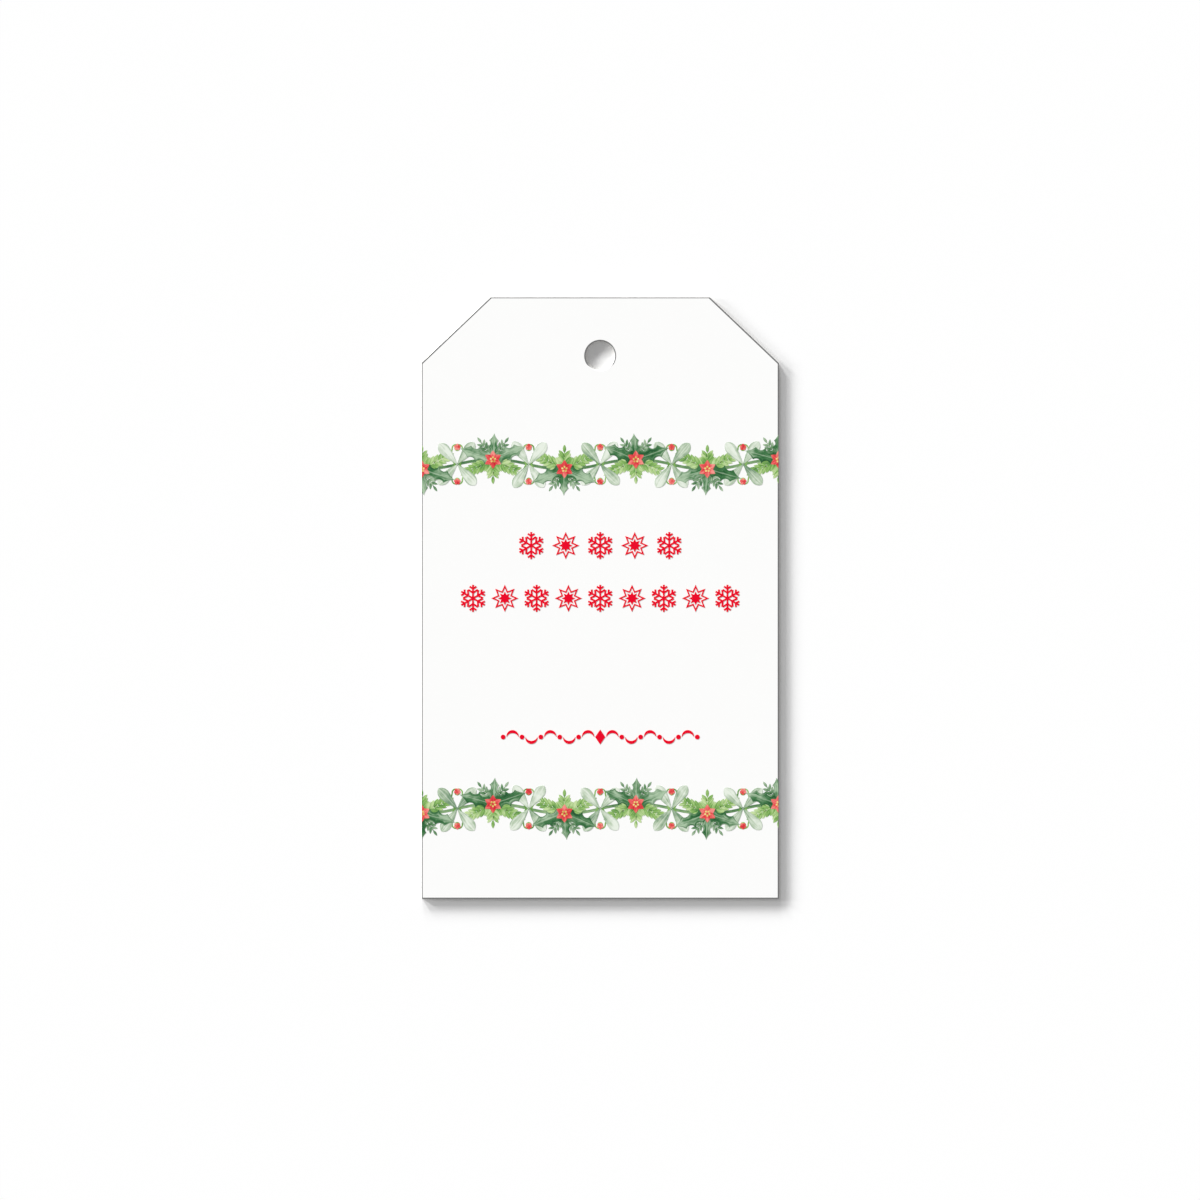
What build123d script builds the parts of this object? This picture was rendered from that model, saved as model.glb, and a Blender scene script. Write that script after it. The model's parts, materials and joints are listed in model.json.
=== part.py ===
from build123d import *
from math import cos, radians, sin
import os

# Gift tag: a white card of three plies, cut with a die and printed in coloured inks on its front.
# The card lies on its back. +Z comes out of the printed face, +Y points to the string hole, and the
# origin is the middle of the back face. Lengths are in millimetres and angles in degrees.

# Card
CARD_WIDTH = 52.8
CARD_HEIGHT = 88.9
CORNER_CUT_ACROSS = 10.2
CORNER_CUT_DOWN = 9.7
HOLE_DIAMETER = 4.4
HOLE_FROM_TOP = 8.65
BACK_PLY_THICKNESS = 0.17
CORE_PLY_THICKNESS = 0.16
FRONT_PLY_THICKNESS = 0.17
RIM_ROUND = 0.05
RIM_ROUND_LIMIT_SHARE = 0.8

# Ink films. A scrap of ink smaller than the smallest dot isn't printed.
INK_THICKNESS = 0.02
SMALLEST_DOT = 0.12

# Garlands: a waving vine with a holly spray on each crest and mistletoe between the crests.
# A leaf's outline runs from its root to its tip: shares of its length and of its half width, with
# every other point on the arc between its neighbours.
UPPER_GARLAND_FROM_TOP = 24.7
LOWER_GARLAND_FROM_BOTTOM = 13.3
GARLAND_WAVES = 5
VINE_WIDTH = 0.42
VINE_RISE = 0.7
SWAY = 5
SWAY_STEP = 137.5

HOLLY_LENGTH = 5.1
HOLLY_WIDTH = 2.5
HOLLY_ANGLES = (18, 162, 90)
HOLLY_SIZE_SHARES = (1, 1, 0.76)
HOLLY_OUTLINE_SHARES = (
    (0, 0), (0.06, 0.40), (0.20, 0.82), (0.33, 0.50), (0.46, 1),
    (0.60, 0.52), (0.73, 0.74), (0.86, 0.27), (1, 0),
)

BRACT_LENGTH = 1.35
BRACT_WIDTH = 0.85
BRACT_COUNT = 6
BRACT_OUTLINE_SHARES = ((0, 0), (0.22, 0.72), (0.52, 1), (0.80, 0.52), (1, 0))
STAMEN_DIAMETER = 0.32
STAMEN_RING_RADIUS = 0.32
STAMEN_COUNT = 5

MISTLETOE_LENGTH = 4.1
MISTLETOE_WIDTH = 1.6
MISTLETOE_ANGLES = (52, 128, 232, 308)
MISTLETOE_OUTLINE_SHARES = ((0, 0), (0.32, 0.60), (0.66, 1), (0.92, 0.62), (1, 0))
FLORET_FROM_VINE = 2.55
FLORET_PETAL_LENGTH = 0.5
FLORET_PETAL_WIDTH = 0.42
FLORET_PETAL_COUNT = 5

TWIG_WIDTH = 0.18
TWIG_LEAF_OUTLINE_SHARES = ((0, 0), (0.48, 1), (1, 0))
TWIG_LEAF_SLANT = 40
TWIG_TAPER_SHARE = 0.3
TWIG_END_LEAF_SHARE = 0.75
LAUREL_LEAF_LENGTH = 1.6
LAUREL_LEAF_WIDTH = 0.66
LAUREL_ANGLES = (206, 334, 270)
LAUREL_LENGTHS = (4.1, 4.1, 2.4)
LAUREL_LEAF_PAIRS = (5, 5, 3)
MYRTLE_LEAF_LENGTH = 1.35
MYRTLE_LEAF_WIDTH = 0.5
MYRTLE_ANGLES = (55, 125)
MYRTLE_LENGTH = 3.0
MYRTLE_LEAF_PAIRS = 4

TENDRIL_WIDTH = 0.2
TENDRIL_LENGTH = 2.3
TENDRIL_BOW = 0.28
TENDRIL_CURL_RADIUS = 0.55
TENDRIL_HALF_TURNS = 3
TENDRIL_TIGHTENING_SHARE = 0.62
TENDRIL_ANGLE = 80
TENDRIL_FROM_MISTLETOE = 0.35

# Greeting: two rows of snowflakes and stars
GREETING_ROWS_FROM_TOP = (36.7, 44.5)
GREETING_SIDE_MARGINS = (14.2, 5.6)
GREETING_ROW_COUNTS = (5, 9)
ORNAMENT_SIZE = 4.0
SNOWFLAKE_ARMS = 6
SNOWFLAKE_BAR_WIDTH = 0.26
SNOWFLAKE_BARB_LENGTHS = (0.85, 0.6)
SNOWFLAKE_BARB_SHARES = (0.40, 0.70)
SNOWFLAKE_BARB_ANGLE = 55
STAR_POINTS = 8
STAR_NOTCH_SHARE = 0.56
STAR_LINE_SHARE = 0.76
STAR_HEART_SHARE = 0.50

# Signature: a flourish of beads and swelling strokes about a lozenge
SIGNATURE_FROM_BOTTOM = 23.9
SIGNATURE_SIDE_MARGIN = 11.7
LOZENGE_WIDTH = 1.5
LOZENGE_HEIGHT = 2.2
BEAD_DIAMETER = 0.7
BEAD_COUNT = 5
STROKE_ARCH = 0.8
STROKE_SWELL = 0.45
STROKE_GAP = 0.16

HALF_TURN = 180
FULL_TURN = 360
CARD_THICKNESS = BACK_PLY_THICKNESS + CORE_PLY_THICKNESS + FRONT_PLY_THICKNESS
CARD_TOP = CARD_HEIGHT / 2
CARD_SIDE = CARD_WIDTH / 2


# Card

def card_outline():
    """The die's outline: a rectangle with its two top corners cut off, and the string hole."""
    shoulder = CARD_SIDE - CORNER_CUT_ACROSS
    shoulder_foot = CARD_TOP - CORNER_CUT_DOWN
    points = [
        (-CARD_SIDE, -CARD_TOP),
        (CARD_SIDE, -CARD_TOP),
        (CARD_SIDE, shoulder_foot),
        (shoulder, CARD_TOP),
        (-shoulder, CARD_TOP),
        (-CARD_SIDE, shoulder_foot),
    ]
    hole = Pos(0, CARD_TOP - HOLE_FROM_TOP) * Circle(HOLE_DIAMETER / 2)
    return make_face(Polyline(*points, close=True)) - hole


def ply(bottom, thickness):
    """One ply of the card, lying on the plane z = bottom."""
    return Pos(0, 0, bottom) * extrude(card_outline(), thickness)


def rim_round(thickness):
    return min(RIM_ROUND, RIM_ROUND_LIMIT_SHARE * thickness)


def face_ply(bottom, thickness, faces_up):
    """A ply with a face that shows. The die presses a small round into that face's rim and hole."""
    sheet = ply(bottom, thickness)
    shown_face = sheet.faces().sort_by(Axis.Z)[-1 if faces_up else 0]
    return fillet(shown_face.edges(), rim_round(thickness))


# Leaves and twigs, drawn along +X from the root at the origin

def leaf(outline_shares, length, width):
    """A leaf with the given outline on both of its sides."""
    points = [(along * length, across * width / 2) for along, across in outline_shares]
    upper_side = [ThreePointArc(*points[start : start + 3]) for start in range(0, len(points) - 1, 2)]
    lower_side = [mirror(edge, about=Plane.XZ) for edge in upper_side]
    return make_face(upper_side + lower_side)


def twig(length, leaf_length, leaf_width, pairs):
    """A thin stem with pairs of leaves that get smaller towards its end, and one leaf there."""
    stem = Pos(length / 2, 0) * Rectangle(length, TWIG_WIDTH)

    def twig_leaf(size_share):
        return leaf(TWIG_LEAF_OUTLINE_SHARES, size_share * leaf_length, size_share * leaf_width)

    shapes = [stem, Pos(length, 0) * twig_leaf(TWIG_END_LEAF_SHARE)]
    for pair in range(pairs):
        root = Pos(length * (pair + 1) / (pairs + 1), 0)
        side_leaf = twig_leaf(1 - TWIG_TAPER_SHARE * pair / pairs)
        shapes += [root * Rot(0, 0, slant) * side_leaf for slant in (TWIG_LEAF_SLANT, -TWIG_LEAF_SLANT)]
    return Sketch() + shapes


def tendril():
    """A bowed stem that ends in half turns, each tighter than the one before."""
    arcs = [ThreePointArc((0, 0), (TENDRIL_LENGTH / 2, -TENDRIL_BOW), (TENDRIL_LENGTH, 0))]
    start = Vector(TENDRIL_LENGTH, 0)
    radius = TENDRIL_CURL_RADIUS
    for _ in range(TENDRIL_HALF_TURNS):
        arcs.append(ThreePointArc(start, start + Vector(radius, radius), start + Vector(0, 2 * radius)))
        start += Vector(0, 2 * radius)
        radius *= -TENDRIL_TIGHTENING_SHARE
    return trace(Curve(arcs), TENDRIL_WIDTH)


# Garland, drawn along X with its middle at the origin

def sway(index):
    """A small turn, either way, that makes each leaf hang a little differently."""
    return SWAY * sin(radians(SWAY_STEP * index))


def wave_length():
    return CARD_WIDTH / GARLAND_WAVES


def crests():
    """The vine's crests from one side edge of the card to the other: x, y, and 1 for up or -1 for down."""
    for index in range(GARLAND_WAVES + 1):
        way = 1 if index % 2 else -1
        yield index * wave_length() - CARD_SIDE, way * VINE_RISE, way


def crossings():
    """The places midway between the crests, where the vine crosses the middle of its band."""
    return [(index + 1 / 2) * wave_length() - CARD_SIDE for index in range(GARLAND_WAVES)]


def vine():
    half_wave = wave_length() / 2
    waves = [ThreePointArc((x - half_wave, 0), (x, y), (x + half_wave, 0)) for x, y, _ in crests()]
    return [trace(Curve(waves), VINE_WIDTH)]


def holly():
    """Three leaves on each crest."""
    leaves = []
    for x, y, way in crests():
        for angle, share in zip(HOLLY_ANGLES, HOLLY_SIZE_SHARES):
            turn = Rot(0, 0, way * (angle + sway(len(leaves))))
            shape = leaf(HOLLY_OUTLINE_SHARES, share * HOLLY_LENGTH, share * HOLLY_WIDTH)
            leaves.append(Pos(x, y) * turn * shape)
    return leaves


def laurel():
    """Twigs on the hollow side of each crest."""
    sizes = list(zip(LAUREL_ANGLES, LAUREL_LENGTHS, LAUREL_LEAF_PAIRS))
    return [
        Pos(x, y) * Rot(0, 0, way * angle) * twig(length, LAUREL_LEAF_LENGTH, LAUREL_LEAF_WIDTH, pairs)
        for x, y, way in crests()
        for angle, length, pairs in sizes
    ]


def myrtle():
    """Twigs between the holly leaves."""
    shape = twig(MYRTLE_LENGTH, MYRTLE_LEAF_LENGTH, MYRTLE_LEAF_WIDTH, MYRTLE_LEAF_PAIRS)
    return [Pos(x, y) * Rot(0, 0, way * angle) * shape for x, y, way in crests() for angle in MYRTLE_ANGLES]


def mistletoe():
    shape = leaf(MISTLETOE_OUTLINE_SHARES, MISTLETOE_LENGTH, MISTLETOE_WIDTH)
    leaves = []
    for x in crossings():
        for angle in MISTLETOE_ANGLES:
            leaves.append(Pos(x, 0) * Rot(0, 0, angle + sway(len(leaves))) * shape)
    return leaves


def tendrils():
    """Four curls at each crossing, one in each quarter."""
    curl = Pos(TENDRIL_FROM_MISTLETOE, 0) * Rot(0, 0, TENDRIL_ANGLE) * tendril()
    pair = [curl, mirror(curl, about=Plane.YZ)]
    quarters = pair + [mirror(shape, about=Plane.XZ) for shape in pair]
    return [Pos(x, 0) * shape for x in crossings() for shape in quarters]


def ring(shape, count, radius=0):
    """Copies of a shape round the origin, the first one pointing to +Y."""
    step = FULL_TURN / count
    return [Rot(0, 0, FULL_TURN / 4 + index * step) * Pos(radius, 0) * shape for index in range(count)]


def blossoms():
    """A poinsettia on each crest, and a small floret over and under each crossing."""
    bract = leaf(BRACT_OUTLINE_SHARES, BRACT_LENGTH, BRACT_WIDTH)
    petal = leaf(MISTLETOE_OUTLINE_SHARES, FLORET_PETAL_LENGTH, FLORET_PETAL_WIDTH)
    poinsettia = ring(bract, BRACT_COUNT)
    floret = ring(petal, FLORET_PETAL_COUNT)
    heads = [Pos(x, y) * shape for x, y, _ in crests() for shape in poinsettia]
    for x in crossings():
        heads += [Pos(x, y) * shape for y in (FLORET_FROM_VINE, -FLORET_FROM_VINE) for shape in floret]
    return heads


def stamens():
    dots = ring(Circle(STAMEN_DIAMETER / 2), STAMEN_COUNT, STAMEN_RING_RADIUS)
    return [Pos(x, y) * dot for x, y, _ in crests() for dot in dots]


def garland_inks():
    """Each ink of the garland by name, the front one first. An ink leaves out what lies in front of it."""
    layers = {
        "stamens": stamens(),
        "blossoms": blossoms(),
        "holly": holly(),
        "mistletoe": mistletoe(),
        "laurel": laurel(),
        "myrtle": myrtle(),
        "tendrils": tendrils(),
        "vine": vine(),
    }
    inks = {}
    in_front = Sketch()
    for name, shapes in layers.items():
        layer = Sketch() + shapes
        inks[name] = layer - in_front
        in_front += layer
    return inks


# Greeting and signature

def snowflake():
    """Arms with two pairs of barbs each."""
    reach = ORNAMENT_SIZE / 2
    bars = [Pos(reach / 2, 0) * Rectangle(reach, SNOWFLAKE_BAR_WIDTH)]
    for share, length in zip(SNOWFLAKE_BARB_SHARES, SNOWFLAKE_BARB_LENGTHS):
        barb = Pos(length / 2, 0) * Rectangle(length, SNOWFLAKE_BAR_WIDTH)
        for angle in (SNOWFLAKE_BARB_ANGLE, -SNOWFLAKE_BARB_ANGLE):
            bars.append(Pos(share * reach, 0) * Rot(0, 0, angle) * barb)
    return Sketch() + [arm for bar in bars for arm in ring(bar, SNOWFLAKE_ARMS)]


def plain_star(size_share):
    reach = size_share * ORNAMENT_SIZE / 2
    points = []
    for index in range(2 * STAR_POINTS):
        radius = STAR_NOTCH_SHARE * reach if index % 2 else reach
        angle = radians(FULL_TURN / 4 + index * HALF_TURN / STAR_POINTS)
        points.append((radius * cos(angle), radius * sin(angle)))
    return make_face(Polyline(*points, close=True))


def star():
    """A star drawn as a line, with a solid star inside it."""
    return plain_star(1) - plain_star(STAR_LINE_SHARE) + plain_star(STAR_HEART_SHARE)


def greeting():
    """Rows of ornaments, snowflakes and stars by turns."""
    kinds = (snowflake(), star())
    ornaments = []
    for from_top, margin, count in zip(GREETING_ROWS_FROM_TOP, GREETING_SIDE_MARGINS, GREETING_ROW_COUNTS):
        reach = CARD_SIDE - margin - ORNAMENT_SIZE / 2
        for index in range(count):
            place = Pos(reach * (2 * index / (count - 1) - 1), CARD_TOP - from_top)
            ornaments.append(place * kinds[index % len(kinds)])
    return Sketch() + ornaments


def swelling_stroke(start, end, arch):
    """A pen stroke over a level chord, pointed at its ends and thickest in its middle."""
    middle = (start + end) / 2
    outer = ThreePointArc((start, 0), (middle, arch + STROKE_SWELL / 2), (end, 0))
    inner = ThreePointArc((end, 0), (middle, arch - STROKE_SWELL / 2), (start, 0))
    return make_face([outer, inner])


def signature():
    """Strokes that arch up and down by turns, a bead after each, their mirror image and a lozenge."""
    half_width = LOZENGE_WIDTH / 2
    half_height = LOZENGE_HEIGHT / 2
    bead_radius = BEAD_DIAMETER / 2
    reach = CARD_SIDE - SIGNATURE_SIDE_MARGIN - half_width
    step = reach / BEAD_COUNT
    side = []
    for index in range(BEAD_COUNT):
        start = half_width + index * step
        bead_x = start + step - bead_radius
        arch = -STROKE_ARCH if index % 2 else STROKE_ARCH
        side.append(swelling_stroke(start + STROKE_GAP, bead_x - bead_radius - STROKE_GAP, arch))
        side.append(Pos(bead_x, 0) * Circle(bead_radius))
    corners = [(half_width, 0), (0, half_height), (-half_width, 0), (0, -half_height)]
    lozenge = make_face(Polyline(*corners, close=True))
    flourish = Sketch() + side + [mirror(shape, about=Plane.YZ) for shape in side] + lozenge
    return Pos(0, SIGNATURE_FROM_BOTTOM - CARD_TOP) * flourish


# Print

def unprinted_margin():
    """All that lies off the flat of the front face: its rounded rim, the hole, and what is past them."""
    flat = offset(card_outline(), -rim_round(FRONT_PLY_THICKNESS), kind=Kind.INTERSECTION)
    return Rectangle(2 * CARD_WIDTH, 2 * CARD_HEIGHT) - flat


def printed(sketch):
    """An ink film on the flat of the front face."""
    shown = [face for face in (sketch - unprinted_margin()).faces() if face.area > SMALLEST_DOT**2]
    films = [Pos(0, 0, CARD_THICKNESS) * extrude(face, INK_THICKNESS) for face in shown]
    return Compound(children=[film.solid() for film in films])


def gift_tag():
    """Every piece of the tag by name."""
    core_bottom = BACK_PLY_THICKNESS
    front_bottom = core_bottom + CORE_PLY_THICKNESS
    pieces = {
        "back_ply": face_ply(0, BACK_PLY_THICKNESS, faces_up=False),
        "core_ply": ply(core_bottom, CORE_PLY_THICKNESS),
        "front_ply": face_ply(front_bottom, FRONT_PLY_THICKNESS, faces_up=True),
        "greeting_ornaments": printed(greeting()),
        "signature_flourish": printed(signature()),
    }
    upper_band = Pos(0, CARD_TOP - UPPER_GARLAND_FROM_TOP)
    lower_band = Pos(0, LOWER_GARLAND_FROM_BOTTOM - CARD_TOP) * Rot(0, 0, HALF_TURN)
    for name, ink in garland_inks().items():
        pieces[f"upper_garland_{name}"] = printed(upper_band * ink)
        pieces[f"lower_garland_{name}"] = printed(lower_band * ink)
    return pieces


os.makedirs("parts", exist_ok=True)
for name, piece in gift_tag().items():
    export_step(piece, f"parts/{name}.step")
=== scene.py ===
import json
import random
from math import atan2, cos, hypot, pi, radians, sin

import bmesh
import bpy
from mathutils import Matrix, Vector


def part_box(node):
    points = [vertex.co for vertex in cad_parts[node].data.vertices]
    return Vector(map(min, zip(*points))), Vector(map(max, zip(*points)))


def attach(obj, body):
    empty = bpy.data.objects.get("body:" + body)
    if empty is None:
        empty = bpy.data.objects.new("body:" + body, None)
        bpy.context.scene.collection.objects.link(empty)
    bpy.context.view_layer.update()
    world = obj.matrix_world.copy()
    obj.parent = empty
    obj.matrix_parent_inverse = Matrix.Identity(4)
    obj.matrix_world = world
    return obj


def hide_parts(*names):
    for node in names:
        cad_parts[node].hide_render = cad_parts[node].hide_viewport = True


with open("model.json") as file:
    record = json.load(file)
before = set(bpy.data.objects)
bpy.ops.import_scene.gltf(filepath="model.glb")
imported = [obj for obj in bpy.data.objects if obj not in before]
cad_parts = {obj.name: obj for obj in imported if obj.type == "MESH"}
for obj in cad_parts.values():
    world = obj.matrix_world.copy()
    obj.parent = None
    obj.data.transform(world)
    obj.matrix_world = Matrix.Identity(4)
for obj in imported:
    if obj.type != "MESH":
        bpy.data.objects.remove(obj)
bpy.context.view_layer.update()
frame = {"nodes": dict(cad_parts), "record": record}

# Gift tag lying on a white table by a low window. Lengths are in metres, angles in degrees.
MM = 0.001
MICRON = 0.000001
QUARTER_TURN = 90
FULL_TURN = 360
PHOTO_SIZE_PX = 1200

# Where the card's edges lie in the photograph
PHOTO_LEFT_PX = 421.4
PHOTO_RIGHT_PX = 778.9
PHOTO_TOP_PX = 297.2
PHOTO_BOTTOM_PX = 898.7

# Card: its box and hole from the frame, its cut corners and rim as in the solids
CARD_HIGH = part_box("front_ply")[1]
CARD_SIDE = CARD_HIGH.x
CARD_TOP = CARD_HIGH.y
FACE_Z = CARD_HIGH.z
STRING_HOLE = next(mount for mount in frame["record"]["mounts"] if mount["name"] == "string_hole")
HOLE_RADIUS = STRING_HOLE["dims"]["r_mm"] * MM
HOLE_Y = STRING_HOLE["pos_m"][1]
CORNER_CUT_ACROSS = 10.2 * MM
CORNER_CUT_DOWN = 9.7 * MM
RIM_ROUND = 0.05 * MM

# Camera, light and table
LENS_MM = 100
SENSOR_MM = 36
LIGHT_BEARING = 135
LIGHT_HEIGHT = 10.5
LIGHT_WIDTH = 9
INNER_LIGHT_SPREAD = 12
INNER_LIGHT = 0.2325
OUTER_LIGHT_SPREAD = 36
OUTER_LIGHT = 0.104
SKY_LIGHT = 0.336
SEEN_SKY = 1.0
TABLE_SIZE = 3.0
TABLE_GAP = 2 * MICRON

# Garland layout, as in the solids
UPPER_GARLAND_FROM_TOP = 24.7 * MM
LOWER_GARLAND_FROM_BOTTOM = 13.3 * MM
GARLAND_WAVES = 5
VINE_WIDTH = 0.42 * MM
VINE_RISE = 0.7 * MM
SWAY = 5
SWAY_STEP = 137.5

HOLLY_LENGTH = 5.1 * MM
HOLLY_WIDTH = 2.5 * MM
HOLLY_ANGLES = (18, 162, 90)
HOLLY_SIZE_SHARES = (1, 1, 0.76)
HOLLY_OUTLINE_SHARES = (
    (0, 0), (0.06, 0.40), (0.20, 0.82), (0.33, 0.50), (0.46, 1),
    (0.60, 0.52), (0.73, 0.74), (0.86, 0.27), (1, 0),
)

BRACT_LENGTH = 1.35 * MM
BRACT_WIDTH = 0.85 * MM
BRACT_COUNT = 6
BRACT_OUTLINE_SHARES = ((0, 0), (0.22, 0.72), (0.52, 1), (0.80, 0.52), (1, 0))
STAMEN_DIAMETER = 0.32 * MM
STAMEN_RING_RADIUS = 0.32 * MM
STAMEN_COUNT = 5

MISTLETOE_LENGTH = 4.1 * MM
MISTLETOE_WIDTH = 1.6 * MM
MISTLETOE_ANGLES = (52, 128, 232, 308)
MISTLETOE_OUTLINE_SHARES = ((0, 0), (0.32, 0.60), (0.66, 1), (0.92, 0.62), (1, 0))
FLORET_FROM_VINE = 2.55 * MM
FLORET_PETAL_LENGTH = 0.5 * MM
FLORET_PETAL_WIDTH = 0.42 * MM
FLORET_PETAL_COUNT = 5

TWIG_WIDTH = 0.18 * MM
TWIG_LEAF_OUTLINE_SHARES = ((0, 0), (0.48, 1), (1, 0))
TWIG_LEAF_SLANT = 40
TWIG_TAPER_SHARE = 0.3
TWIG_END_LEAF_SHARE = 0.75
LAUREL_LEAF_LENGTH = 1.6 * MM
LAUREL_LEAF_WIDTH = 0.66 * MM
LAUREL_ANGLES = (206, 334, 270)
LAUREL_LENGTHS = (4.1 * MM, 4.1 * MM, 2.4 * MM)
LAUREL_LEAF_PAIRS = (5, 5, 3)
MYRTLE_LEAF_LENGTH = 1.35 * MM
MYRTLE_LEAF_WIDTH = 0.5 * MM
MYRTLE_ANGLES = (55, 125)
MYRTLE_LENGTH = 3.0 * MM
MYRTLE_LEAF_PAIRS = 4

TENDRIL_WIDTH = 0.2 * MM
TENDRIL_LENGTH = 2.3 * MM
TENDRIL_BOW = 0.28 * MM
TENDRIL_CURL_RADIUS = 0.55 * MM
TENDRIL_HALF_TURNS = 3
TENDRIL_TIGHTENING_SHARE = 0.62
TENDRIL_ANGLE = 80
TENDRIL_FROM_MISTLETOE = 0.35 * MM

# Ink films are painted one over the other, each stroke a little lower or higher than its neighbours
INK_ORDER = ("vine", "tendrils", "myrtle", "laurel", "mistletoe", "holly", "blossoms", "stamens")
STROKE_LEVELS = 6
STROKE_LEVEL_STEP = 0.3 * MICRON
LEAST_HALF_WIDTH = 0.012 * MM
ARC_STEPS = 6
CURL_STEPS = 12
TRIM_TOLERANCE = 0.01 * MICRON
STROKE_TONE_SEED = 2026

# Colours, as red, green and blue shares on a screen
PAPER_WHITE = (0.988, 0.988, 0.985)
PAPER_SHADE = (0.905, 0.902, 0.89)
FACE_CUT = (0.87, 0.865, 0.85)
CORE_CUT = (0.80, 0.795, 0.775)
CUT_SHADE = (0.72, 0.71, 0.69)
# Painted shade: the grey of a line along the card's rim and the hole's edge, which stands for the shading
# at the edge
PAINTED_RIM_SHADE_GREY = (0.46, 0.46, 0.46)
TABLE_WHITE = (0.995, 0.995, 0.995)
LETTERING_RED = (0.917, 0.01, 0.155)
LETTERING_PALE = (0.95, 0.30, 0.38)

# Garland paints, each as its pale, body and deep tones, and how strongly a leaf's rib shows
VINE_TONES = ((0.62, 0.74, 0.55), (0.42, 0.58, 0.38), (0.26, 0.44, 0.28))
TENDRIL_TONES = ((0.68, 0.82, 0.52), (0.50, 0.70, 0.33), (0.35, 0.56, 0.24))
MYRTLE_TONES = ((0.68, 0.77, 0.65), (0.36, 0.54, 0.36), (0.17, 0.38, 0.21))
LAUREL_TONES = ((0.78, 0.87, 0.64), (0.51, 0.70, 0.35), (0.28, 0.51, 0.23))
MISTLETOE_TONES = ((0.91, 0.94, 0.89), (0.70, 0.78, 0.67), (0.43, 0.57, 0.44))
HOLLY_TONES = ((0.68, 0.78, 0.66), (0.24, 0.46, 0.27), (0.10, 0.32, 0.17))
BLOSSOM_TONES = ((0.97, 0.60, 0.56), (0.90, 0.28, 0.29), (0.79, 0.12, 0.19))
STAMEN_TONES = ((0.97, 0.89, 0.62), (0.91, 0.78, 0.44), (0.72, 0.55, 0.22))
MYRTLE_RIB = 0.3
LAUREL_RIB = 0.35
MISTLETOE_RIB = 0.4
HOLLY_RIB = 0.5
BLOSSOM_RIB = 0.2


def linear(colour):
    """A screen colour as the linear colour, with alpha, that a shader takes."""
    shares = [c / 12.92 if c <= 0.04045 else ((c + 0.055) / 1.055) ** 2.4 for c in colour]
    return (*shares, 1)


# Node graphs

BRUSH_MARKS_ALONG = 1.2
BRUSH_MARKS_ACROSS = 5.0
BRUSH_MARKS_APART = 40.0

# Places of the colour sockets on a Mix node, whose names repeat for each kind of data
MIX_FIRST_COLOUR = 6
MIX_SECOND_COLOUR = 7
MIX_COLOUR_RESULT = 2


class Graph:
    """A material's node tree with short ways to add nodes. An input is a number, a colour or a socket."""

    def __init__(self, name):
        self.material = bpy.data.materials.new(name)
        self.material.use_nodes = True
        self.nodes = self.material.node_tree.nodes
        self.links = self.material.node_tree.links
        self.shader = self.nodes["Principled BSDF"]

    def feed(self, socket, value):
        if isinstance(value, bpy.types.NodeSocket):
            self.links.new(value, socket)
        else:
            socket.default_value = value

    def math(self, operation, first, second=0.0):
        node = self.nodes.new("ShaderNodeMath")
        node.operation = operation
        self.feed(node.inputs[0], first)
        self.feed(node.inputs[1], second)
        return node.outputs[0]

    def ramp(self, value, low, high):
        """0 up to low, 1 from high, and a smooth step between them."""
        node = self.nodes.new("ShaderNodeMapRange")
        node.interpolation_type = "SMOOTHSTEP"
        self.feed(node.inputs["Value"], value)
        self.feed(node.inputs["From Min"], low)
        self.feed(node.inputs["From Max"], high)
        return node.outputs["Result"]

    def mix(self, share, first, second):
        node = self.nodes.new("ShaderNodeMix")
        node.data_type = "RGBA"
        self.feed(node.inputs["Factor"], share)
        self.feed(node.inputs[MIX_FIRST_COLOUR], first)
        self.feed(node.inputs[MIX_SECOND_COLOUR], second)
        return node.outputs[MIX_COLOUR_RESULT]

    def place(self):
        return self.nodes.new("ShaderNodeTexCoord").outputs["Object"]

    def apart(self, vector):
        node = self.nodes.new("ShaderNodeSeparateXYZ")
        self.feed(node.inputs[0], vector)
        return node.outputs

    def stretched(self, vector, scale):
        node = self.nodes.new("ShaderNodeMapping")
        self.feed(node.inputs["Vector"], vector)
        self.feed(node.inputs["Scale"], scale)
        return node.outputs[0]

    def streaked(self, along, side, tone):
        """A place in a stroke's own brush marks, which run along it."""
        node = self.nodes.new("ShaderNodeCombineXYZ")
        self.feed(node.inputs[0], self.math("MULTIPLY", along, BRUSH_MARKS_ALONG))
        self.feed(node.inputs[1], self.math("MULTIPLY", side, BRUSH_MARKS_ACROSS))
        self.feed(node.inputs[2], self.math("MULTIPLY", tone, BRUSH_MARKS_APART))
        return node.outputs[0]

    def noise(self, vector, grain, detail=2.0):
        """Noise from 0 to 1 whose blots are about one grain across."""
        node = self.nodes.new("ShaderNodeTexNoise")
        self.feed(node.inputs["Vector"], vector)
        self.feed(node.inputs["Scale"], 1 / grain)
        self.feed(node.inputs["Detail"], detail)
        return node.outputs["Fac"]

    def bump(self, height, strength, distance):
        node = self.nodes.new("ShaderNodeBump")
        self.feed(node.inputs["Height"], height)
        self.feed(node.inputs["Strength"], strength)
        self.feed(node.inputs["Distance"], distance)
        self.feed(self.shader.inputs["Normal"], node.outputs[0])

    def finish(self, colour, roughness, specular):
        self.feed(self.shader.inputs["Base Color"], colour)
        self.feed(self.shader.inputs["Roughness"], roughness)
        self.feed(self.shader.inputs["Specular IOR Level"], specular)
        return self.material


# Materials

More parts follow.
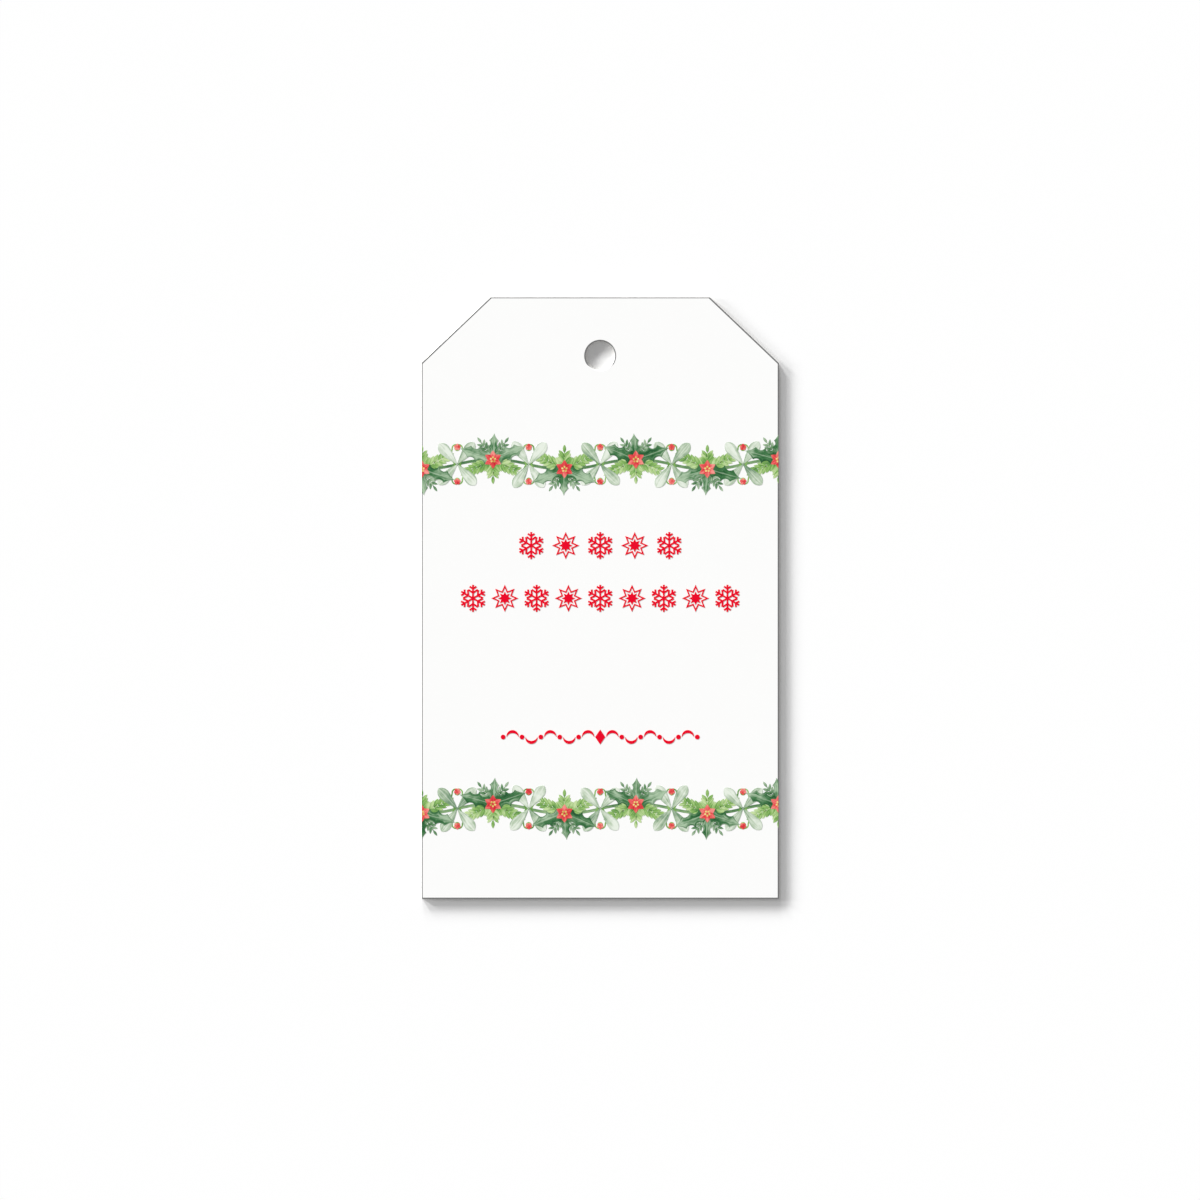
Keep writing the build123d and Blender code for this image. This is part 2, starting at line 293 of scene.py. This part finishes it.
FIBRE_LENGTH = 1.1 * MM
FIBRE_WIDTH = 0.05 * MM
FORMATION_GRAIN = 2.6 * MM
# The painted shade line by the rim: its width, a little extra on the cut shoulders, where it fades out at
# the foot of the hole, and how strongly each ply shows it
RIM_LINE_WIDTH = 0.11 * MM
SHOULDER_LINE_EXTRA = 0.06 * MM
HOLE_FOOT_SHARES = (2.0, 0.5)
FRONT_PAINTED_SHADE_STRENGTH = 1.0
CORE_PAINTED_SHADE_STRENGTH = 0.0
BACK_PAINTED_SHADE_STRENGTH = 0.4
CUT_TO_FACE_TILT = (0.05, 0.3)
FIBRE_TONE = 0.05
CLOUD_TONE = 0.04
FIBRE_BUMP = 0.05
FIBRE_HEIGHT = 0.01 * MM
PAPER_ROUGHNESS = 0.85
PAPER_GLOSS = 0.06
TABLE_ROUGHNESS = 0.9
TABLE_GLOSS = 0.0


def paper_fibres(graph):
    """Fibres that lie two ways across each other, as a height from 0 to 1."""
    place = graph.place()
    lengthways = graph.noise(graph.stretched(place, (1, FIBRE_WIDTH / FIBRE_LENGTH, 1)), FIBRE_WIDTH)
    crossways = graph.noise(graph.stretched(place, (FIBRE_WIDTH / FIBRE_LENGTH, 1, 1)), FIBRE_WIDTH)
    return graph.math("MULTIPLY", graph.math("ADD", lengthways, crossways), 0.5)


def painted_rim_shade(graph):
    """Where the painted shade line lies: 1 along the edge of the card and of its hole, but for the hole's
    foot, and 0 a little way in.
    """
    x, y, _ = graph.apart(graph.place())
    across = graph.math("ABSOLUTE", x)
    past_side = graph.math("SUBTRACT", across, CARD_SIDE)
    past_end = graph.math("SUBTRACT", graph.math("ABSOLUTE", y), CARD_TOP)
    slope = hypot(CORNER_CUT_ACROSS, CORNER_CUT_DOWN)
    past_shoulder = graph.math("SUBTRACT", y, CARD_TOP - CORNER_CUT_DOWN)
    past_corner = graph.math(
        "ADD",
        graph.math("MULTIPLY", past_side, CORNER_CUT_DOWN / slope),
        graph.math("MULTIPLY", past_shoulder, CORNER_CUT_ACROSS / slope),
    )
    past_corner = graph.math("ADD", past_corner, SHOULDER_LINE_EXTRA)
    from_hole = graph.math("SUBTRACT", y, HOLE_Y)
    squares = graph.math("ADD", graph.math("MULTIPLY", x, x), graph.math("MULTIPLY", from_hole, from_hole))
    off_foot = graph.ramp(from_hole, -HOLE_FOOT_SHARES[0] * HOLE_RADIUS, -HOLE_FOOT_SHARES[1] * HOLE_RADIUS)
    rim = graph.math("MULTIPLY", off_foot, HOLE_RADIUS)
    past_hole = graph.math("SUBTRACT", rim, graph.math("SQRT", squares))
    past_edge = graph.math("MAXIMUM", past_side, past_end)
    past_edge = graph.math("MAXIMUM", past_edge, past_corner)
    past_edge = graph.math("MAXIMUM", past_edge, past_hole)
    line_end = -RIM_ROUND - RIM_LINE_WIDTH
    return graph.ramp(past_edge, line_end - RIM_ROUND / 2, line_end + RIM_ROUND / 2)


def paper(name, cut_colour, painted_shade_strength):
    """Smooth uncoated board: faint fibres and clouds, a dull cut edge and a painted shade line by the rim.
    """
    graph = Graph(name)
    fibres = paper_fibres(graph)
    clouds = graph.noise(graph.place(), FORMATION_GRAIN)
    surface = graph.nodes.new("ShaderNodeNewGeometry")
    upright = graph.math("ABSOLUTE", graph.apart(surface.outputs["Normal"])[2])
    on_face = graph.ramp(upright, *CUT_TO_FACE_TILT)
    tone = graph.math(
        "ADD",
        graph.math("MULTIPLY", fibres, FIBRE_TONE),
        graph.math("MULTIPLY", clouds, CLOUD_TONE),
    )
    body = graph.mix(tone, linear(PAPER_WHITE), linear(PAPER_SHADE))
    cut = graph.mix(fibres, linear(cut_colour), linear(CUT_SHADE))
    colour = graph.mix(on_face, cut, body)
    # Painted shade: a grey line along the rim of the card and of its hole, on the faces only
    shade = graph.math("MULTIPLY", graph.math("MULTIPLY", painted_rim_shade(graph), on_face), painted_shade_strength)
    colour = graph.mix(shade, colour, linear(PAINTED_RIM_SHADE_GREY))
    graph.bump(fibres, FIBRE_BUMP, FIBRE_HEIGHT)
    return graph.finish(colour, PAPER_ROUGHNESS, PAPER_GLOSS)


WASH_GRAIN = 1.3 * MM
BLOOM_GRAIN = 0.45 * MM
BLOOM_DETAIL = 3.0
PIGMENT_GRAIN = 0.09 * MM
PIGMENT_BUMP = 0.04
PIGMENT_HEIGHT = 0.004 * MM
INK_ROUGHNESS = 0.8
WASH_GLOSS = 0.08
LETTERING_GLOSS = 0.04

# How far a wash is thinned along a stroke, by its blots and from stroke to stroke,
# and the ranges in which its tones change
THINNED_ALONG = 0.35
THINNED_IN_BLOTS = 0.9
THINNED_BY_STROKE = 0.4
THINNING_START = 0.9
DEEP_TO_BODY = (0.0, 0.4)
BODY_TO_PALE = (0.3, 0.8)
DRIED_MARGIN = (0.62, 1.0)
DRIED_MARGIN_DEPTH = 0.75
RIB_HALF_WIDTH_SHARES = (0.04, 0.14)
SPECKLE_GRAIN = (0.5, 0.75)
SPECKLE_STRENGTH = 0.16
TOOTH_GRAIN = (0.45, 0.8)
TOOTH_STRENGTH = 0.22


def watercolour(name, tones, rib=0.0):
    """A brush wash: darker at the root and the dried margin, paler towards the tip, with pigment grain."""
    pale, body, deep = (linear(tone) for tone in tones)
    graph = Graph(f"{name}_paint")
    paint = graph.nodes.new("ShaderNodeUVMap")
    paint.uv_map = "paint"
    along, side, _ = graph.apart(paint.outputs[0])
    across = graph.math("ABSOLUTE", graph.math("SUBTRACT", graph.math("MULTIPLY", side, 2.0), 1.0))
    attribute = graph.nodes.new("ShaderNodeAttribute")
    attribute.attribute_name = "tone"
    stroke_tone = attribute.outputs["Fac"]
    place = graph.place()
    wash = graph.noise(place, WASH_GRAIN)
    bloom = graph.noise(place, BLOOM_GRAIN, BLOOM_DETAIL)
    grain = graph.noise(place, PIGMENT_GRAIN)
    streaks = graph.noise(graph.streaked(along, side, stroke_tone), 1.0)
    wet = graph.math(
        "ADD",
        graph.math("MULTIPLY", along, THINNED_ALONG),
        graph.math("MULTIPLY", wash, THINNED_IN_BLOTS),
    )
    wet = graph.math("ADD", wet, streaks)
    wet = graph.math("ADD", wet, graph.math("MULTIPLY", stroke_tone, THINNED_BY_STROKE))
    wet = graph.math("SUBTRACT", wet, THINNING_START)
    colour = graph.mix(graph.ramp(wet, *DEEP_TO_BODY), deep, body)
    colour = graph.mix(graph.ramp(wet, *BODY_TO_PALE), colour, pale)
    margin = graph.ramp(across, *DRIED_MARGIN)
    pool = graph.math("MULTIPLY", margin, graph.math("MULTIPLY", bloom, DRIED_MARGIN_DEPTH))
    colour = graph.mix(pool, colour, deep)
    if rib:
        vein = graph.math("SUBTRACT", 1.0, graph.ramp(across, *RIB_HALF_WIDTH_SHARES))
        colour = graph.mix(graph.math("MULTIPLY", vein, rib), colour, pale)
    speckle = graph.math("MULTIPLY", graph.ramp(grain, *SPECKLE_GRAIN), SPECKLE_STRENGTH)
    colour = graph.mix(speckle, colour, pale)
    graph.bump(grain, PIGMENT_BUMP, PIGMENT_HEIGHT)
    return graph.finish(colour, INK_ROUGHNESS, WASH_GLOSS)


def flat_ink(name, colour, pale):
    """A solid printed ink: it is a little paler, as a faint mottle, where the paper has its tooth."""
    graph = Graph(name)
    tooth = graph.noise(graph.place(), PIGMENT_GRAIN)
    mottle = graph.noise(graph.place(), BLOOM_GRAIN)
    worn = graph.ramp(tooth, *TOOTH_GRAIN)
    faded = graph.math("MULTIPLY", worn, graph.math("MULTIPLY", mottle, TOOTH_STRENGTH))
    graph.bump(tooth, PIGMENT_BUMP, PIGMENT_HEIGHT)
    mixed = graph.mix(faded, linear(colour), linear(pale))
    return graph.finish(mixed, INK_ROUGHNESS, LETTERING_GLOSS)


def white_table():
    """A plain white table top that keeps the tag's shadow."""
    graph = Graph("table_white")
    return graph.finish(linear(TABLE_WHITE), TABLE_ROUGHNESS, TABLE_GLOSS)


# Brush strokes, drawn flat along +X from the root at the origin. A stroke is a list of rows from root
# to end: how far along the row is, from 0 to 1, and its left, middle and right points.

def arc(start, via, end, steps):
    """Points on the arc from start through via to end, without the start."""
    (ax, ay), (bx, by), (cx, cy) = start, via, end
    twice_area = 2 * (ax * (by - cy) + bx * (cy - ay) + cx * (ay - by))
    a, b, c = (x * x + y * y for x, y in (start, via, end))
    x0 = (a * (by - cy) + b * (cy - ay) + c * (ay - by)) / twice_area
    y0 = (a * (cx - bx) + b * (ax - cx) + c * (bx - ax)) / twice_area
    radius = hypot(ax - x0, ay - y0)
    first, middle, last = (atan2(y - y0, x - x0) for x, y in (start, via, end))
    sweep = (last - first) % (2 * pi)
    if (middle - first) % (2 * pi) > sweep:
        sweep -= 2 * pi
    angles = [first + sweep * step / steps for step in range(1, steps + 1)]
    return [(x0 + radius * cos(angle), y0 + radius * sin(angle)) for angle in angles]


def leaf(outline_shares, length, width):
    points = [(along * length, across * width / 2) for along, across in outline_shares]
    side = [points[0]]
    for start in range(0, len(points) - 1, 2):
        side += arc(*points[start : start + 3], ARC_STEPS)
    rows = []
    for x, y in side:
        half = max(y, LEAST_HALF_WIDTH)
        rows.append((x / length, (x, half), (x, 0), (x, -half)))
    return rows


def line(points, width):
    """A stroke of even width along a line of points."""
    rows = []
    last = len(points) - 1
    for index, (x, y) in enumerate(points):
        before = points[max(index - 1, 0)]
        after = points[min(index + 1, last)]
        dx, dy = after[0] - before[0], after[1] - before[1]
        reach = width / 2 / hypot(dx, dy)
        left = (x - dy * reach, y + dx * reach)
        right = (x + dy * reach, y - dx * reach)
        rows.append((index / last, left, (x, y), right))
    return rows


def dot(diameter):
    radius = diameter / 2
    rows = []
    for step in range(ARC_STEPS * 2 + 1):
        angle = pi * step / (ARC_STEPS * 2)
        x, half = -radius * cos(angle), max(radius * sin(angle), LEAST_HALF_WIDTH)
        rows.append((step / (ARC_STEPS * 2), (x, half), (x, 0), (x, -half)))
    return rows


def moved(stroke, x, y, angle=0, flip_x=1, flip_y=1):
    """A stroke turned about its root, flipped if asked, and put at a place."""
    turn_cos, turn_sin = cos(radians(angle)), sin(radians(angle))

    def carry(point):
        px, py = point
        return x + flip_x * (px * turn_cos - py * turn_sin), y + flip_y * (px * turn_sin + py * turn_cos)

    return [(along, carry(left), carry(middle), carry(right)) for along, left, middle, right in stroke]


def twig(length, leaf_length, leaf_width, pairs):
    stem = line([(0, 0), (length / 2, 0), (length, 0)], TWIG_WIDTH)

    def twig_leaf(share):
        return leaf(TWIG_LEAF_OUTLINE_SHARES, share * leaf_length, share * leaf_width)

    strokes = [stem, moved(twig_leaf(TWIG_END_LEAF_SHARE), length, 0)]
    for pair in range(pairs):
        side_leaf = twig_leaf(1 - TWIG_TAPER_SHARE * pair / pairs)
        root = length * (pair + 1) / (pairs + 1)
        strokes += [moved(side_leaf, root, 0, slant) for slant in (TWIG_LEAF_SLANT, -TWIG_LEAF_SLANT)]
    return strokes


def tendril():
    points = [(0, 0)] + arc((0, 0), (TENDRIL_LENGTH / 2, -TENDRIL_BOW), (TENDRIL_LENGTH, 0), CURL_STEPS)
    y = 0
    radius = TENDRIL_CURL_RADIUS
    for _ in range(TENDRIL_HALF_TURNS):
        outermost = (TENDRIL_LENGTH + radius, y + radius)
        points += arc((TENDRIL_LENGTH, y), outermost, (TENDRIL_LENGTH, y + 2 * radius), CURL_STEPS)
        y += 2 * radius
        radius *= -TENDRIL_TIGHTENING_SHARE
    return line(points, TENDRIL_WIDTH)


# Garland, drawn along X with its middle at the origin

def sway(index):
    return SWAY * sin(radians(SWAY_STEP * index))


def wave_length():
    return 2 * CARD_SIDE / GARLAND_WAVES


def crests():
    for index in range(GARLAND_WAVES + 1):
        way = 1 if index % 2 else -1
        yield index * wave_length() - CARD_SIDE, way * VINE_RISE, way


def crossings():
    return [(index + 1 / 2) * wave_length() - CARD_SIDE for index in range(GARLAND_WAVES)]


def vine():
    half_wave = wave_length() / 2
    points = [(-CARD_SIDE - half_wave, 0)]
    for x, y, _ in crests():
        points += arc((x - half_wave, 0), (x, y), (x + half_wave, 0), CURL_STEPS)
    return [line(points, VINE_WIDTH)]


def holly():
    strokes = []
    for x, y, way in crests():
        for angle, share in zip(HOLLY_ANGLES, HOLLY_SIZE_SHARES):
            shape = leaf(HOLLY_OUTLINE_SHARES, share * HOLLY_LENGTH, share * HOLLY_WIDTH)
            strokes.append(moved(shape, x, y, way * (angle + sway(len(strokes)))))
    return strokes


def laurel():
    sizes = list(zip(LAUREL_ANGLES, LAUREL_LENGTHS, LAUREL_LEAF_PAIRS))
    return [
        moved(stroke, x, y, way * angle)
        for x, y, way in crests()
        for angle, length, pairs in sizes
        for stroke in twig(length, LAUREL_LEAF_LENGTH, LAUREL_LEAF_WIDTH, pairs)
    ]


def myrtle():
    strokes = twig(MYRTLE_LENGTH, MYRTLE_LEAF_LENGTH, MYRTLE_LEAF_WIDTH, MYRTLE_LEAF_PAIRS)
    return [
        moved(stroke, x, y, way * angle)
        for x, y, way in crests()
        for angle in MYRTLE_ANGLES
        for stroke in strokes
    ]


def mistletoe():
    shape = leaf(MISTLETOE_OUTLINE_SHARES, MISTLETOE_LENGTH, MISTLETOE_WIDTH)
    strokes = []
    for x in crossings():
        for angle in MISTLETOE_ANGLES:
            strokes.append(moved(shape, x, 0, angle + sway(len(strokes))))
    return strokes


def tendrils():
    curl = moved(tendril(), TENDRIL_FROM_MISTLETOE, 0, TENDRIL_ANGLE)
    return [
        moved(curl, x, 0, flip_x=flip_x, flip_y=flip_y)
        for x in crossings()
        for flip_y in (1, -1)
        for flip_x in (1, -1)
    ]


def ring(stroke, count, x, y, radius=0):
    """Copies of a stroke round a point, the first one pointing to +Y."""
    shifted = moved(stroke, radius, 0)
    return [moved(shifted, x, y, QUARTER_TURN + index * FULL_TURN / count) for index in range(count)]


def blossoms():
    bract = leaf(BRACT_OUTLINE_SHARES, BRACT_LENGTH, BRACT_WIDTH)
    petal = leaf(MISTLETOE_OUTLINE_SHARES, FLORET_PETAL_LENGTH, FLORET_PETAL_WIDTH)
    strokes = []
    for x, y, _ in crests():
        strokes += ring(bract, BRACT_COUNT, x, y)
    for x in crossings():
        for y in (FLORET_FROM_VINE, -FLORET_FROM_VINE):
            strokes += ring(petal, FLORET_PETAL_COUNT, x, y)
    return strokes


def stamens():
    strokes = []
    for x, y, _ in crests():
        strokes += ring(dot(STAMEN_DIAMETER), STAMEN_COUNT, x, y, STAMEN_RING_RADIUS)
    return strokes


# Ink films

def add_stroke(ink, layers, rows, bottom, top, tone):
    """One closed flat solid for a stroke, with its paint coordinates and its own tone."""
    paint, tones = layers
    levels = []
    for z in (top, bottom):
        levels.append([[ink.verts.new((x, y, z)) for x, y in points] for _, *points in rows])
    uppers, lowers = levels
    spots = {}
    for level in levels:
        for (along, *_), corners in zip(rows, level):
            spots.update(zip(corners, ((along, 1), (along, 0.5), (along, 0))))
    quads = []
    for index in range(len(rows) - 1):
        here, there = uppers[index], uppers[index + 1]
        under, beyond = lowers[index], lowers[index + 1]
        for side in (0, 1):
            quads.append((here[side], here[side + 1], there[side + 1], there[side]))
            quads.append((beyond[side], beyond[side + 1], under[side + 1], under[side]))
        quads.append((there[0], beyond[0], under[0], here[0]))
        quads.append((here[2], under[2], beyond[2], there[2]))
    for upper, lower in ((uppers[0], lowers[0]), (uppers[-1], lowers[-1])):
        for side in (0, 1):
            quads.append((upper[side], lower[side], lower[side + 1], upper[side + 1]))
    for corners in quads:
        face = ink.faces.new(corners)
        face[tones] = tone
        for loop in face.loops:
            loop[paint].uv = spots[loop.vert]


def trim(ink, limit):
    """Cuts the film off at the card's two side edges and closes the cuts."""
    for side in (1, -1):
        everything = ink.verts[:] + ink.edges[:] + ink.faces[:]
        bmesh.ops.bisect_plane(
            ink,
            geom=everything,
            dist=TRIM_TOLERANCE,
            plane_co=(side * limit, 0, 0),
            plane_no=(side, 0, 0),
            clear_outer=True,
        )
        open_edges = [edge for edge in ink.edges if edge.is_boundary]
        bmesh.ops.holes_fill(ink, edges=open_edges, sides=0)


def ink_film(name, strokes, material, order, draw):
    """The painted piece that stands for one ink node."""
    low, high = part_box(name)
    layer_height = (high.z - low.z) / len(INK_ORDER)
    layer_top = low.z + layer_height * (order + 1)
    ink = bmesh.new()
    layers = (ink.loops.layers.uv.new("paint"), ink.faces.layers.float.new("tone"))
    for index, rows in enumerate(strokes):
        top = layer_top - (index % STROKE_LEVELS) * STROKE_LEVEL_STEP
        add_stroke(ink, layers, rows, low.z, top, draw.random())
    trim(ink, CARD_SIDE - RIM_ROUND)
    bmesh.ops.recalc_face_normals(ink, faces=ink.faces[:])
    mesh = bpy.data.meshes.new(f"{name}_paint")
    ink.to_mesh(mesh)
    ink.free()
    mesh.materials.append(material)
    piece = bpy.data.objects.new(f"{name}_paint", mesh)
    bpy.context.scene.collection.objects.link(piece)
    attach(piece, "root")
    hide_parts(name)


def garland_inks():
    """Each ink's strokes and paint, by name."""
    vine_paint = watercolour("vine", VINE_TONES)
    tendril_paint = watercolour("tendril", TENDRIL_TONES)
    myrtle_paint = watercolour("myrtle", MYRTLE_TONES, MYRTLE_RIB)
    laurel_paint = watercolour("laurel", LAUREL_TONES, LAUREL_RIB)
    mistletoe_paint = watercolour("mistletoe", MISTLETOE_TONES, MISTLETOE_RIB)
    holly_paint = watercolour("holly", HOLLY_TONES, HOLLY_RIB)
    blossom_paint = watercolour("blossom", BLOSSOM_TONES, BLOSSOM_RIB)
    stamen_paint = watercolour("stamen", STAMEN_TONES)
    return {
        "vine": (vine(), vine_paint),
        "tendrils": (tendrils(), tendril_paint),
        "myrtle": (myrtle(), myrtle_paint),
        "laurel": (laurel(), laurel_paint),
        "mistletoe": (mistletoe(), mistletoe_paint),
        "holly": (holly(), holly_paint),
        "blossoms": (blossoms(), blossom_paint),
        "stamens": (stamens(), stamen_paint),
    }


def garlands():
    """Both bands, the lower one turned half round."""
    inks = garland_inks()
    bands = {
        "upper": (CARD_TOP - UPPER_GARLAND_FROM_TOP, 1),
        "lower": (LOWER_GARLAND_FROM_BOTTOM - CARD_TOP, -1),
    }
    draw = random.Random(STROKE_TONE_SEED)
    for band, (middle, way) in bands.items():
        for order, name in enumerate(INK_ORDER):
            strokes, material = inks[name]
            placed = [moved(stroke, 0, middle, flip_x=way, flip_y=way) for stroke in strokes]
            ink_film(f"{band}_garland_{name}", placed, material, order, draw)


def dress_card():
    """Materials for the solids that show as they are."""
    lettering = flat_ink("lettering_red", LETTERING_RED, LETTERING_PALE)
    finishes = {
        "front_ply": paper("card_front_paper", FACE_CUT, FRONT_PAINTED_SHADE_STRENGTH),
        "core_ply": paper("card_core_paper", CORE_CUT, CORE_PAINTED_SHADE_STRENGTH),
        "back_ply": paper("card_back_paper", FACE_CUT, BACK_PAINTED_SHADE_STRENGTH),
        "greeting_ornaments": lettering,
        "signature_flourish": lettering,
    }
    for node, material in finishes.items():
        for index in range(len(frame["nodes"][node].material_slots)):
            frame["nodes"][node].material_slots[index].material = material


# Stage

def table():
    half = TABLE_SIZE / 2
    mesh = bpy.data.meshes.new("table")
    corners = [(-half, -half, 0), (half, -half, 0), (half, half, 0), (-half, half, 0)]
    mesh.from_pydata(corners, [], [range(len(corners))])
    mesh.materials.append(white_table())
    top = bpy.data.objects.new("table", mesh)
    top.location.z = -TABLE_GAP
    bpy.context.scene.collection.objects.link(top)


def lamp(name, bearing, light):
    """A wide far lamp that gives the table the named share of its light."""
    glow = bpy.data.lights.new(name, "SUN")
    glow.angle = radians(LIGHT_WIDTH)
    glow.energy = light * pi / sin(radians(LIGHT_HEIGHT))
    rig = bpy.data.objects.new(name, glow)
    level = cos(radians(LIGHT_HEIGHT))
    across, up = level * cos(radians(bearing)), level * sin(radians(bearing))
    rig.rotation_euler = Vector((across, up, sin(radians(LIGHT_HEIGHT)))).to_track_quat("Z", "Y").to_euler()
    bpy.context.scene.collection.objects.link(rig)


def window():
    """A low, broad window to the upper left, which throws the photograph's soft shadow."""
    for side, way in (("left", 1), ("right", -1)):
        lamp(f"window_inner_{side}", LIGHT_BEARING + way * INNER_LIGHT_SPREAD, INNER_LIGHT)
        lamp(f"window_outer_{side}", LIGHT_BEARING + way * OUTER_LIGHT_SPREAD, OUTER_LIGHT)


def sky():
    """Even light from all round, seen as white."""
    world = bpy.data.worlds.new("sky")
    world.use_nodes = True
    nodes, links = world.node_tree.nodes, world.node_tree.links
    seen = nodes.new("ShaderNodeLightPath")
    mirrored = nodes.new("ShaderNodeMath")
    mirrored.operation = "MAXIMUM"
    links.new(seen.outputs["Is Glossy Ray"], mirrored.inputs[0])
    links.new(seen.outputs["Is Transmission Ray"], mirrored.inputs[1])
    white = nodes.new("ShaderNodeMath")
    white.operation = "MAXIMUM"
    links.new(seen.outputs["Is Camera Ray"], white.inputs[0])
    links.new(mirrored.outputs[0], white.inputs[1])
    strength = nodes.new("ShaderNodeMapRange")
    strength.inputs["To Min"].default_value = SKY_LIGHT
    strength.inputs["To Max"].default_value = SEEN_SKY
    links.new(white.outputs[0], strength.inputs["Value"])
    background = nodes["Background"]
    background.inputs["Color"].default_value = (1, 1, 1, 1)
    links.new(strength.outputs["Result"], background.inputs["Strength"])
    bpy.context.scene.world = world


def camera():
    """Straight above the card, which fills the same pixels as in the photograph."""
    pixel = 2 * CARD_TOP / (PHOTO_BOTTOM_PX - PHOTO_TOP_PX)
    eye = bpy.data.cameras.new("camera")
    eye.lens = LENS_MM
    eye.sensor_width = SENSOR_MM
    rig = bpy.data.objects.new("camera", eye)
    middle = PHOTO_SIZE_PX / 2
    right_of_middle = ((PHOTO_LEFT_PX + PHOTO_RIGHT_PX) / 2 - middle) * pixel
    below_middle = ((PHOTO_TOP_PX + PHOTO_BOTTOM_PX) / 2 - middle) * pixel
    distance = PHOTO_SIZE_PX * pixel * LENS_MM / SENSOR_MM
    rig.location = (-right_of_middle, below_middle, FACE_Z + distance)
    bpy.context.scene.collection.objects.link(rig)
    bpy.context.scene.camera = rig


dress_card()
garlands()
table()
window()
sky()
camera()
bpy.context.scene.view_settings.view_transform = "Standard"
